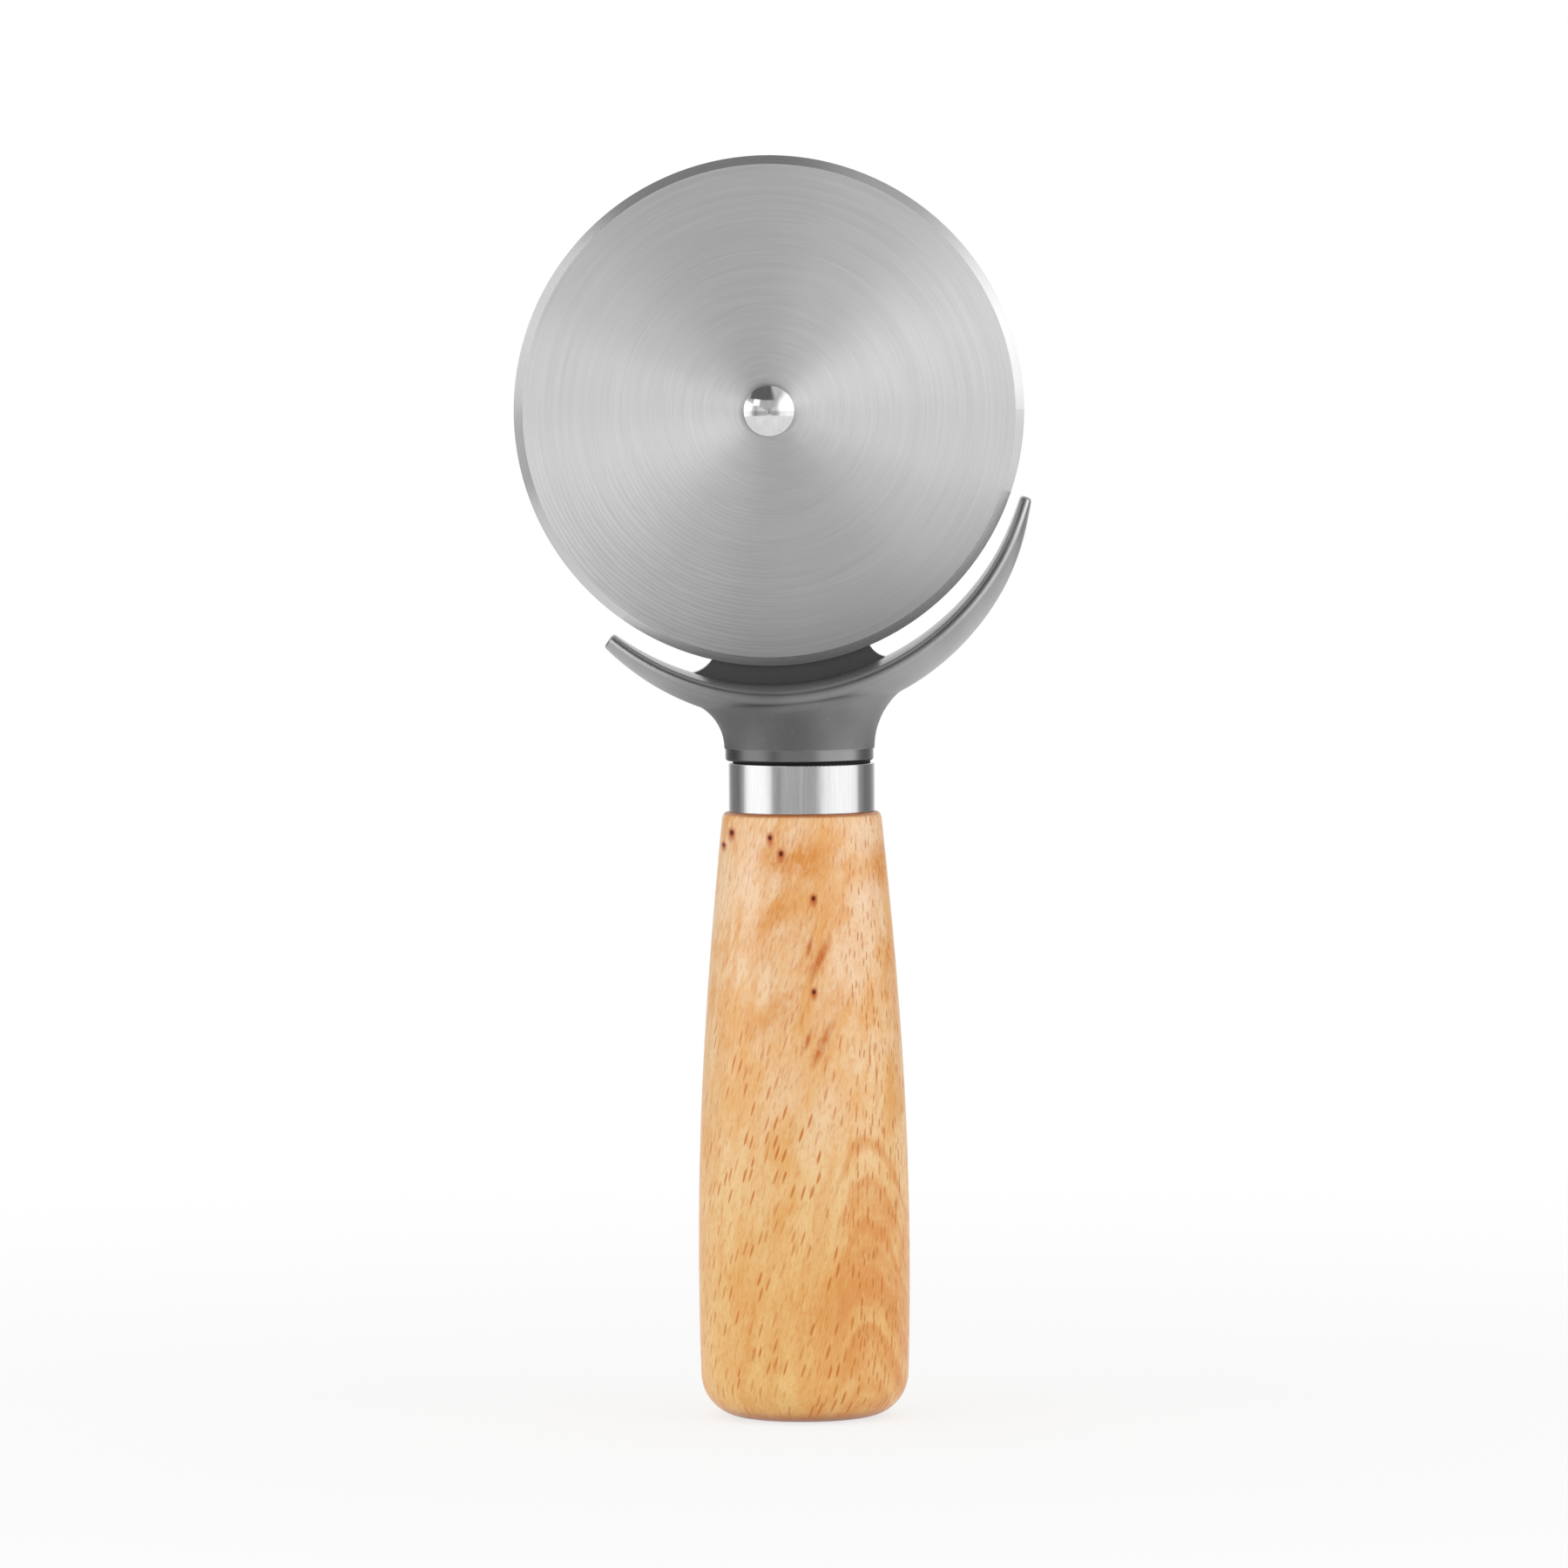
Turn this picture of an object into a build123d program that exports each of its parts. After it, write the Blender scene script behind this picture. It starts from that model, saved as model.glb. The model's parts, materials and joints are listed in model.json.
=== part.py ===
from build123d import *

import os
from math import atan2, cos, hypot, radians, sin, sqrt

os.makedirs("parts", exist_ok=True)

# Frame, in millimetres: the origin is the middle of the handle's butt, +Z runs up the handle to the
# blade, +X is to the right and -Y is the front, where the domed rivet head shows. The blade's middle
# plane is Y = 0, and the one arm that carries it stands behind it, at +Y.

# Blade
blade_radius = 37.5
blade_thickness = 1.0
bevel_width = 1.3
edge_land = 0.12
axle_left = 4.5

# Rivet, bush and washers on the axle
barrel_radius = 2.0
barrel_wall = 0.8
barrel_bore_depth = 6.0
barrel_end_gap = 0.3
head_radius = 3.7
head_height = 1.5
head_edge = 0.25
dimple_radius = 0.35
dimple_depth = 0.1
cap_height = 1.6
cap_edge = 0.35
cap_pin_length = 5.0
bush_wall = 1.15
bush_flange_radius = 5.2
bush_flange_thickness = 0.4
front_washer_inset = 0.2
front_washer_thickness = 0.3
rear_washer_overhang = 0.2
rear_washer_thickness = 0.5

# Fits
running_clearance = 0.05
axial_play = 0.1
fit_clearance = 0.03

# Guard: a crescent between two circles, each centred below the blade's axle
guard_gap = 1.0
guard_inner_drop = 1.7
guard_radius_step = 1.6
guard_outer_drop = 8.7
guard_outer_right = 1.9
guard_overhang = 1.2
guard_crown = 0.5
guard_rim_radius = 1.15
guard_tip_half_width = 2.6
guard_tip_rim_share = 0.44
guard_tip_rounding_share = 0.75

# Directions from the axle, in degrees clockwise from +X as seen from the front
guard_right_tip_angle = 18.8
guard_middle_angle = 84.0
guard_left_tip_angle = 125.3

# Arm behind the blade
arm_thickness = 4.0
arm_base_left = 12.4
arm_base_right = 9.7
arm_left_flare_radius = 4.5
arm_right_flare_radius = 3.5
arm_flare_sink = 0.5
arm_rear_flare_radius = 2.5
arm_edge_rounding = 0.8
boss_margin = 1.1
boss_height = 0.8
boss_rounding = 0.4
cap_margin = 2.3

# Collar and neck of the casting
collar_overhang = 0.15
collar_height = 1.75
collar_chamfer = 0.25
collar_step = 0.15
neck_left = 0.3
neck_rise = 4.0
neck_left_flare_share = 0.505
neck_right_flare_share = 1.12
neck_flare_sink = 0.12
neck_depth_taper = 0.45
neck_section_count = 5
neck_seam_rounding = 1.5
seam_gap = 0.35
spigot_length = 3.0

# Ferrule
ferrule_radius = 10.75
ferrule_wall = 0.6
ferrule_length = 7.2
ferrule_edge_rounding = 0.12

# Handle
handle_length = 89.3
belly_radius = 15.55
butt_taper = 0.25
butt_corner_radius = 6.4
shoulder_lip = 1.0
shoulder_rounding = 0.95
tenon_length = 4.0

# Tang
tang_radius = 3.5
tang_in_handle = 49.0
tang_in_casting = 7.5
tang_end_chamfer = 0.6
tang_end_room = 0.5
groove_width = 1.2
groove_depth = 0.3
groove_pitch = 5.0
groove_count = 7

# Heights on the handle's axis
ferrule_top = handle_length + ferrule_length
collar_bottom = ferrule_top + seam_gap
collar_top = collar_bottom + collar_height
tenon_top = handle_length + tenon_length
spigot_bottom = collar_bottom - spigot_length
tang_bottom = handle_length - tang_in_handle
tang_top = collar_bottom + tang_in_casting

# Radii and half widths about the handle's axis
butt_radius = belly_radius - butt_taper
shoulder_radius = ferrule_radius + shoulder_lip
socket_radius = tang_radius + fit_clearance
tenon_radius = ferrule_radius - ferrule_wall - fit_clearance
collar_radius = ferrule_radius + collar_overhang
neck_base_radius = collar_radius + collar_step
neck_top_half_depth = neck_base_radius - neck_depth_taper
guard_half_width = neck_top_half_depth + guard_overhang

# The guard follows the blade, and the axle's height follows the guard
guard_inner_radius = blade_radius + guard_gap
guard_outer_radius = guard_inner_radius - guard_radius_step
guard_depth = guard_outer_drop - guard_inner_drop - guard_radius_step
axle_height = collar_top + neck_rise + guard_outer_radius + guard_outer_drop

# Depths along the axle, from the front to the rear
front_washer_rear = -blade_thickness / 2 - axial_play
head_rear = front_washer_rear - front_washer_thickness
head_front = head_rear - head_height
blade_front = -blade_thickness / 2
blade_rear = blade_thickness / 2
bush_rear = blade_rear + bush_flange_thickness
rear_washer_front = bush_rear + axial_play
arm_front = rear_washer_front + rear_washer_thickness
arm_rear = arm_front + arm_thickness
boss_rear = arm_rear + boss_height
cap_rear = boss_rear + cap_height
barrel_end = boss_rear - barrel_end_gap

# Radii on the axle
barrel_bore_radius = barrel_radius - barrel_wall
bush_bore_radius = barrel_radius + running_clearance
bush_radius = bush_bore_radius + bush_wall
arm_bore_radius = barrel_radius + fit_clearance
front_washer_radius = head_radius - front_washer_inset
rear_washer_radius = bush_flange_radius + rear_washer_overhang
boss_radius = rear_washer_radius + boss_margin
cap_radius = boss_radius - cap_margin

# Axes and planes: on a lathe plane, x is the distance from the axis that the profile turns about
axle_x = -axle_left
axle_axis = Axis((axle_x, 0, axle_height), (0, 1, 0))
axle_lathe = Plane(origin=(axle_x, 0, axle_height), x_dir=(1, 0, 0), z_dir=(0, 0, 1))
handle_lathe = Plane.XZ


def between(start, end, share):
    return start + (end - start) * share


def arc_reach(radius, drop, right, angle):
    """Distance from the axle, at a direction, of a circle centred below and right of it."""
    from_centre = radians(angle) - atan2(drop, right)
    offset = hypot(drop, right)
    return offset * cos(from_centre) + sqrt(radius**2 - (offset * sin(from_centre)) ** 2)


def guard_inner(angle):
    return arc_reach(guard_inner_radius, guard_inner_drop, 0, angle)


def guard_outer(angle):
    return arc_reach(guard_outer_radius, guard_outer_drop, guard_outer_right, angle)


def guard_thickness(angle):
    return guard_outer(angle) - guard_inner(angle)


def guard_point(angle, reach):
    """Point of the front view, x and height, at a direction and distance from the axle."""
    return (axle_x + reach * cos(radians(angle)), axle_height - reach * sin(radians(angle)))


def guard_inner_height(x):
    """Height, in the front view, of the guard's inner face below the axle."""
    return axle_height - guard_inner_drop - sqrt(guard_inner_radius**2 - (x - axle_x) ** 2)


def guard_plane(angle):
    """Section plane through the axle: x runs outwards and y runs to the front."""
    outwards = (cos(radians(angle)), 0, -sin(radians(angle)))
    along = (-sin(radians(angle)), 0, -cos(radians(angle)))
    return Plane(origin=(axle_x, 0, axle_height), x_dir=outwards, z_dir=along)


def leaf_share(angle):
    """How full the crescent is at a direction: 1 in its middle and 0 at both tips."""
    tip_angle = guard_right_tip_angle if angle < guard_middle_angle else guard_left_tip_angle
    return cos(radians(90 * (angle - guard_middle_angle) / (tip_angle - guard_middle_angle)))


def bowed_face(face_reach, rim_reach, rim_radius, rim_side):
    """Where a shallow arc with its top at face_reach runs into a rim circle, as x and y."""
    rise = rim_reach - face_reach
    bow = (rise**2 + rim_side**2 - rim_radius**2) / (2 * (abs(rise) - rim_radius))
    centre = face_reach + (bow if rise > 0 else -bow)
    along_share = bow / (bow - rim_radius)
    return (centre + (rim_reach - centre) * along_share, rim_side * along_share)


def guard_outline(angle):
    """The crescent's section: two shallow arcs that run into a full round rim on each side."""
    share = leaf_share(angle)
    half_width = between(guard_tip_half_width, guard_half_width, share)
    rim_radius = between(tip_rim_radius, guard_rim_radius, share)
    rim_side = half_width - rim_radius
    inner = guard_inner(angle)
    outer = guard_outer(angle)
    rim_reach = inner + rim_radius + guard_crown * half_width / guard_half_width
    inner_x, inner_y = bowed_face(inner, rim_reach, rim_radius, rim_side)
    outer_x, outer_y = bowed_face(outer, rim_reach, rim_radius, rim_side)
    ThreePointArc((inner_x, -inner_y), (inner, 0), (inner_x, inner_y))
    ThreePointArc((inner_x, inner_y), (rim_reach, half_width), (outer_x, outer_y))
    ThreePointArc((outer_x, outer_y), (outer, 0), (outer_x, -outer_y))
    ThreePointArc((outer_x, -outer_y), (rim_reach, -half_width), (inner_x, -inner_y))


def neck_flare(side, height_share, share):
    """Point of a neck flare's arc, which stands upright on the collar at share 0 and, at share 1,
    ends just inside the guard's outer circle. The side is -1 on the left and 1 on the right, and the
    end's height is a share of the guard's depth above its lowest point."""
    start = Vector(side * neck_base_radius - neck_left, 0, collar_top)
    end_height = neck_rise + guard_depth * height_share
    centre_height = neck_rise + guard_outer_radius
    end_reach = sqrt((guard_outer_radius - neck_flare_sink) ** 2 - (centre_height - end_height) ** 2)
    end_shift = abs(axle_x + guard_outer_right + side * end_reach - start.X)
    flare_radius = (end_shift**2 + end_height**2) / (2 * end_shift)
    turn = 2 * atan2(end_shift, end_height) * share
    return start + Vector(side * (1 - cos(turn)), 0, sin(turn)) * flare_radius


def neck_plane_and_half_length(share):
    """Plane through the two flare arcs of the neck's front view, and half the distance between."""
    left = neck_flare(-1, neck_left_flare_share, share)
    right = neck_flare(1, neck_right_flare_share, share)
    across = right - left
    up = Vector(-across.Z, 0, across.X)
    return Plane(origin=(left + right) / 2, x_dir=across, z_dir=up), across.length / 2


# Handle: turned beech with a tenon for the ferrule and a blind hole for the tang
handle_shoulder_height = handle_length - shoulder_rounding
handle_outline_shares = ((0.21, 1.0), (0.55, 0.958), (0.78, 0.868))
with BuildPart() as handle:
    with BuildSketch(handle_lathe):
        with BuildLine():
            butt_flat = butt_radius - butt_corner_radius
            Line((0, 0), (butt_flat, 0))
            RadiusArc((butt_flat, 0), (butt_radius, butt_corner_radius), -butt_corner_radius)
            side_points = [(butt_radius, butt_corner_radius)]
            for height_share, radius_share in handle_outline_shares:
                side_points.append((belly_radius * radius_share, handle_length * height_share))
            side_points.append((shoulder_radius, handle_shoulder_height))
            Spline(*side_points)
            RadiusArc(
                (shoulder_radius, handle_shoulder_height),
                (shoulder_radius - shoulder_rounding, handle_length),
                -shoulder_rounding,
            )
            Polyline(
                (shoulder_radius - shoulder_rounding, handle_length),
                (tenon_radius, handle_length),
                (tenon_radius, tenon_top),
                (socket_radius, tenon_top),
                (socket_radius, tang_bottom),
                (0, tang_bottom - tang_end_room),
                (0, 0),
            )
        make_face()
    revolve(axis=Axis.Z)
handle.part.label = "handle"
export_step(handle.part, "parts/handle.step")

# Ferrule: plain tube pressed over the tenon and round the casting's spigot
with BuildPart() as ferrule:
    with BuildSketch(Plane.XY.offset(handle_length)):
        Circle(ferrule_radius)
        Circle(ferrule_radius - ferrule_wall, mode=Mode.SUBTRACT)
    extrude(amount=ferrule_length)
    fillet(ferrule.edges().filter_by(GeomType.CIRCLE).group_by(SortBy.RADIUS)[-1], ferrule_edge_rounding)
ferrule.part.label = "ferrule"
export_step(ferrule.part, "parts/ferrule.step")

# Tang: steel rod with glue grooves, held in the casting and in the handle
with BuildPart() as tang:
    with BuildSketch(Plane.XY.offset(tang_bottom)):
        Circle(tang_radius)
    extrude(amount=tang_top - tang_bottom)
    chamfer(tang.edges().filter_by(GeomType.CIRCLE), tang_end_chamfer)
    for groove in range(groove_count):
        with BuildSketch(Plane.XY.offset(tang_bottom + (groove + 1) * groove_pitch)):
            Circle(tang_radius)
            Circle(tang_radius - groove_depth, mode=Mode.SUBTRACT)
        extrude(amount=groove_width, mode=Mode.SUBTRACT)
tang.part.label = "tang"
export_step(tang.part, "parts/tang.step")

# Arm, part of the casting: its front outline is a hull from the boss to the base, with a flare on
# each side of the base, and its side outline has the rear flare
left_flare_x = -arm_base_left - arm_left_flare_radius
left_flare_low = guard_inner_height(left_flare_x) - arm_flare_sink
right_flare_x = arm_base_right + arm_right_flare_radius
right_flare_low = guard_inner_height(right_flare_x) - arm_flare_sink
left_flare_end = (left_flare_x, left_flare_low)
right_flare_end = (right_flare_x, right_flare_low)
left_flare_start = (-arm_base_left, left_flare_low + arm_left_flare_radius)
right_flare_start = (arm_base_right, right_flare_low + arm_right_flare_radius)
arm_root = guard_point(90, (guard_inner(90) + guard_outer(90)) / 2)
rear_flare_low = guard_inner_height(axle_x) - guard_crown
rear_flare_top = rear_flare_low + arm_rear_flare_radius
rear_flare_end = arm_rear + arm_rear_flare_radius
arm_top = axle_height + boss_radius
with BuildPart() as arm:
    with BuildSketch(Plane.XZ.offset(-rear_flare_end)):
        with BuildLine():
            CenterArc((axle_x, axle_height), boss_radius, 0, 360)
            Line(left_flare_start, right_flare_start)
        make_hull()
        with BuildLine():
            RadiusArc(left_flare_start, left_flare_end, arm_left_flare_radius)
            ThreePointArc(left_flare_end, arm_root, right_flare_end)
            RadiusArc(right_flare_end, right_flare_start, arm_right_flare_radius)
            Line(right_flare_start, left_flare_start)
        make_face()
    extrude(amount=rear_flare_end - arm_front)
    with BuildSketch(Plane.YZ):
        with BuildLine():
            Polyline(
                (rear_flare_end, rear_flare_low),
                (rear_flare_end, arm_root[1]),
                (arm_front, arm_root[1]),
                (arm_front, arm_top),
                (arm_rear, arm_top),
                (arm_rear, rear_flare_top),
            )
            RadiusArc((arm_rear, rear_flare_top), (rear_flare_end, rear_flare_low), -arm_rear_flare_radius)
        make_face()
    extrude(amount=arm_top, both=True, mode=Mode.INTERSECT)
    rear_face = arm.faces().filter_by(Axis.Y).sort_by(Axis.Y)[-1]
    fillet(rear_face.edges().filter_by(Axis.X, reverse=True), arm_edge_rounding)

# Neck, part of the casting: oval sections that widen along the two flare arcs of the front view
with BuildPart() as neck:
    for step in range(neck_section_count):
        share = step / (neck_section_count - 1)
        section_plane, half_length = neck_plane_and_half_length(share)
        with BuildSketch(section_plane):
            Ellipse(half_length, between(neck_base_radius, neck_top_half_depth, share))
    loft()

# Guard body: one casting of collar, neck, crescent guard and arm, with a spigot and a tang socket
tip_rim_radius = guard_tip_rim_share * guard_thickness(guard_right_tip_angle)
guard_section_shares = (0.1, 0.35, 0.6, 0.82, 1.0)
left_angles = [between(guard_middle_angle, guard_left_tip_angle, s) for s in guard_section_shares]
right_angles = [between(guard_middle_angle, guard_right_tip_angle, s) for s in guard_section_shares]
with BuildPart() as guard_body:
    for angle in left_angles[::-1] + right_angles:
        with BuildSketch(guard_plane(angle)):
            with BuildLine():
                guard_outline(angle)
            make_face()
    loft()
    tip_faces = guard_body.faces().filter_by(GeomType.PLANE)
    fillet(tip_faces.edges(), guard_tip_rounding_share * tip_rim_radius)
    add(neck.part)
    fillet(guard_body.edges(Select.NEW), neck_seam_rounding)
    add(arm.part)
    with BuildSketch(Plane.XY.offset(collar_bottom)):
        with Locations((-neck_left, 0)):
            Circle(collar_radius)
    extrude(amount=collar_height)
    collar_edge = guard_body.edges().filter_by_position(Axis.Z, collar_bottom, collar_bottom)
    chamfer(collar_edge, collar_chamfer)
    with BuildSketch(Plane.XY.offset(spigot_bottom)):
        Circle(tenon_radius)
    extrude(amount=spigot_length)
    with BuildSketch(Plane.XY.offset(spigot_bottom)):
        Circle(socket_radius)
    extrude(amount=tang_top + tang_end_room - spigot_bottom, mode=Mode.SUBTRACT)
    with BuildSketch(Plane.XZ.offset(-boss_rear)):
        with Locations((axle_x, axle_height)):
            Circle(boss_radius)
    extrude(amount=boss_rear - arm_front)
    boss_edges = guard_body.edges().filter_by_position(Axis.Y, boss_rear, boss_rear)
    fillet(boss_edges, boss_rounding)
    with BuildSketch(Plane.XZ.offset(-boss_rear)):
        with Locations((axle_x, axle_height)):
            Circle(arm_bore_radius)
    extrude(amount=boss_rear - arm_front, mode=Mode.SUBTRACT)
guard_body.part.label = "guard_body"
export_step(guard_body.part, "parts/guard_body.step")

# Blade: a thin disc with a bevel on both faces
bevel_start = blade_radius - bevel_width
blade_bore_radius = bush_radius + fit_clearance
with BuildPart() as cutting_wheel:
    with BuildSketch(axle_lathe):
        with BuildLine():
            Polyline(
                (blade_bore_radius, blade_front),
                (bevel_start, blade_front),
                (blade_radius, -edge_land / 2),
                (blade_radius, edge_land / 2),
                (bevel_start, blade_rear),
                (blade_bore_radius, blade_rear),
                close=True,
            )
        make_face()
    revolve(axis=axle_axis)
cutting_wheel.part.label = "cutting_wheel"
export_step(cutting_wheel.part, "parts/cutting_wheel.step")

# Bush: a flanged ring in the blade's bore, with the flange behind the blade
with BuildPart() as wheel_bush:
    with BuildSketch(axle_lathe):
        with BuildLine():
            Polyline(
                (bush_bore_radius, blade_front),
                (bush_radius, blade_front),
                (bush_radius, blade_rear),
                (bush_flange_radius, blade_rear),
                (bush_flange_radius, bush_rear),
                (bush_bore_radius, bush_rear),
                close=True,
            )
        make_face()
    revolve(axis=axle_axis)
wheel_bush.part.label = "wheel_bush"
export_step(wheel_bush.part, "parts/wheel_bush.step")

# Washers: one hidden under the rivet's head, and one between the bush's flange and the arm
washers = (
    ("front_washer", head_rear, front_washer_radius, front_washer_thickness),
    ("rear_washer", rear_washer_front, rear_washer_radius, rear_washer_thickness),
)
for washer_name, washer_front, washer_radius, washer_thickness in washers:
    with BuildPart() as washer:
        with BuildSketch(Plane.XZ.offset(-washer_front)):
            with Locations((axle_x, axle_height)):
                Circle(washer_radius)
                Circle(arm_bore_radius, mode=Mode.SUBTRACT)
        extrude(amount=-washer_thickness)
    washer.part.label = washer_name
    export_step(washer.part, f"parts/{washer_name}.step")

# Axle rivet: domed head with a dimple, and the hollow barrel that the blade turns on
dimple_sphere_radius = (dimple_radius**2 + dimple_depth**2) / (2 * dimple_depth)
dimple_centre = head_front + dimple_depth - dimple_sphere_radius
with BuildPart() as axle_rivet:
    with BuildSketch(axle_lathe):
        with BuildLine():
            dome_rise = head_height - head_edge
            dome_radius = (head_radius**2 + dome_rise**2) / (2 * dome_rise)
            RadiusArc((0, head_front), (head_radius, head_rear - head_edge), -dome_radius)
            Polyline(
                (head_radius, head_rear - head_edge),
                (head_radius, head_rear),
                (barrel_radius, head_rear),
                (barrel_radius, barrel_end),
                (barrel_bore_radius, barrel_end),
                (barrel_bore_radius, barrel_end - barrel_bore_depth),
                (0, barrel_end - barrel_bore_depth),
                (0, head_front),
            )
        make_face()
    revolve(axis=axle_axis)
    with Locations((axle_x, dimple_centre, axle_height)):
        Sphere(dimple_sphere_radius, mode=Mode.SUBTRACT)
axle_rivet.part.label = "axle_rivet"
export_step(axle_rivet.part, "parts/axle_rivet.step")

# Rivet cap: domed rear half whose pin is pressed into the barrel
pin_radius = barrel_bore_radius - fit_clearance
with BuildPart() as rivet_cap:
    with BuildSketch(axle_lathe):
        with BuildLine():
            cap_rise = cap_height - cap_edge
            cap_dome_radius = (cap_radius**2 + cap_rise**2) / (2 * cap_rise)
            RadiusArc((0, cap_rear), (cap_radius, boss_rear + cap_edge), cap_dome_radius)
            Polyline(
                (cap_radius, boss_rear + cap_edge),
                (cap_radius, boss_rear),
                (pin_radius, boss_rear),
                (pin_radius, boss_rear - cap_pin_length),
                (0, boss_rear - cap_pin_length),
                (0, cap_rear),
            )
        make_face()
    revolve(axis=axle_axis)
rivet_cap.part.label = "rivet_cap"
export_step(rivet_cap.part, "parts/rivet_cap.step")
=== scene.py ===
"""Looks of a hand-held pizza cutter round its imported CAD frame: materials, camera and studio.

Lengths are in metres, in the frame of the CAD model: the origin is the middle of the handle's butt,
+Z runs up the handle to the blade, +X is to the right and -Y is the front. Inside the materials,
lengths are in millimetres in that same frame.
"""
import json
import math

import bpy
from mathutils import Matrix, Vector


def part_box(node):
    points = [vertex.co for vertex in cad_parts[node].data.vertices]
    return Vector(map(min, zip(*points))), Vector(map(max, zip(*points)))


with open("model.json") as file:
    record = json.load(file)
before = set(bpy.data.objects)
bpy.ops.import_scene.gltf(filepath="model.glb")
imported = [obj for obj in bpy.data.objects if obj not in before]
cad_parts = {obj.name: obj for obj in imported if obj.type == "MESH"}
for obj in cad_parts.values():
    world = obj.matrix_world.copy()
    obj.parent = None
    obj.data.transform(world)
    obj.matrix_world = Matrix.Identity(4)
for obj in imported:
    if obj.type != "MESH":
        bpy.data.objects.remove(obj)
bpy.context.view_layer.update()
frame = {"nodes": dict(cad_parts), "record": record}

MM = 0.001
PER_MM = 1000.0

# Places read from the CAD model, in millimetres
wheel_low, wheel_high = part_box("cutting_wheel")
axle = tuple((wheel_low + wheel_high) / 2 * PER_MM)
blade_radius = (wheel_high.x - wheel_low.x) / 2 * PER_MM
arm_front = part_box("rear_washer")[1].y * PER_MM
ferrule_low, ferrule_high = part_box("ferrule")
shoulder = ferrule_low.z * PER_MM
ferrule_top = ferrule_high.z * PER_MM


# Shader graphs
class Graph:
    """Builds one node tree: each call adds a node and returns its output socket."""

    def __init__(self, tree):
        self.tree = tree
        tree.nodes.clear()

    def node(self, kind, inputs=None, **settings):
        made = self.tree.nodes.new(kind)
        for name, value in settings.items():
            setattr(made, name, value)
        for name, value in (inputs or {}).items():
            self.feed(made.inputs[name], value)
        return made

    def feed(self, socket, value):
        """Link an input to a socket, or set it to a value. A colour may leave out its alpha."""
        if isinstance(value, bpy.types.NodeSocket):
            self.tree.links.new(value, socket)
        elif socket.type == "RGBA":
            socket.default_value = (*value[:3], 1.0)
        else:
            socket.default_value = value

    def math(self, operation, first, second=0.0, third=0.0):
        made = self.node("ShaderNodeMath", operation=operation)
        for socket, value in zip(made.inputs, (first, second, third)):
            self.feed(socket, value)
        return made.outputs[0]

    def times(self, product, *factors):
        for factor in factors:
            product = self.math("MULTIPLY", product, factor)
        return product

    def line(self, value, slope, start):
        return self.math("MULTIPLY_ADD", value, slope, start)

    def vector(self, operation, first, second=(0.0, 0.0, 0.0), out="Vector"):
        made = self.node("ShaderNodeVectorMath", operation=operation)
        self.feed(made.inputs[0], first)
        self.feed(made.inputs[1], second)
        return made.outputs[out]

    def scaled(self, vector, scale):
        return self.vector("MULTIPLY", vector, scale)

    def length(self, vector):
        return self.vector("LENGTH", vector, out="Value")

    def split(self, vector):
        return self.node("ShaderNodeSeparateXYZ", {"Vector": vector}).outputs

    def join(self, x=0.0, y=0.0, z=0.0):
        return self.node("ShaderNodeCombineXYZ", {"X": x, "Y": y, "Z": z}).outputs[0]

    def coordinates(self, name):
        return self.node("ShaderNodeTexCoord").outputs[name]

    def place(self):
        """Position in the object's own frame, in millimetres."""
        return self.scaled(self.coordinates("Object"), (PER_MM, PER_MM, PER_MM))

    def oval(self, side, up, half_width, half_height):
        """Distance from the middle of an oval, 1 on its edge."""
        return self.length(
            self.join(self.math("DIVIDE", side, half_width), 0.0, self.math("DIVIDE", up, half_height))
        )

    def noise(self, vector, scale=1.0, detail=2.0, roughness=0.5, distortion=0.0):
        inputs = {
            "Vector": vector,
            "Scale": scale,
            "Detail": detail,
            "Roughness": roughness,
            "Distortion": distortion,
        }
        return self.node("ShaderNodeTexNoise", inputs).outputs["Fac"]

    def step(self, value, low, high, to_low=0.0, to_high=1.0):
        """A smooth step from to_low, where value is low, to to_high, where it is high."""
        inputs = {
            "Value": value,
            "From Min": low,
            "From Max": high,
            "To Min": to_low,
            "To Max": to_high,
        }
        made = self.node("ShaderNodeMapRange", inputs, interpolation_type="SMOOTHSTEP")
        return made.outputs[0]

    def fall(self, value, low, high):
        """A smooth step down from 1, where value is low, to 0, where it is high."""
        return self.step(value, low, high, 1.0, 0.0)

    def ramp(self, value, *stops):
        """Colours, or levels of grey, joined by straight lines."""
        made = self.node("ShaderNodeValToRGB", {"Fac": value})
        band = made.color_ramp
        band.elements.remove(band.elements[1])
        for index, (position, colour) in enumerate(stops):
            element = band.elements.new(position) if index else band.elements[0]
            element.position = position
            element.color = (*(grey(colour) if isinstance(colour, float) else colour), 1.0)
        return made.outputs["Color"]

    def mix(self, share, first, second, blend="MIX"):
        made = self.node("ShaderNodeMix", data_type="RGBA", blend_type=blend)
        inputs = {socket.identifier: socket for socket in made.inputs}
        self.feed(inputs["Factor_Float"], share)
        self.feed(inputs["A_Color"], first)
        self.feed(inputs["B_Color"], second)
        return next(s for s in made.outputs if s.identifier == "Result_Color")

    def bump(self, height, distance, strength):
        inputs = {"Height": height, "Distance": distance, "Strength": strength}
        return self.node("ShaderNodeBump", inputs).outputs["Normal"]

    def emission(self, colour, strength):
        inputs = {"Color": colour, "Strength": strength}
        return self.node("ShaderNodeEmission", inputs).outputs[0]

    def finish(self, **inputs):
        """Principled shader and output. An underscore in a name stands for a space."""
        shader = self.node(
            "ShaderNodeBsdfPrincipled",
            {name.replace("_", " "): value for name, value in inputs.items()},
        )
        self.output(shader.outputs["BSDF"])

    def output(self, surface):
        self.node("ShaderNodeOutputMaterial", {"Surface": surface})


def grey(level):
    return (level, level, level)


def new_material(name):
    made = bpy.data.materials.new(name)
    made.use_nodes = True
    return made, Graph(made.node_tree)


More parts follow.
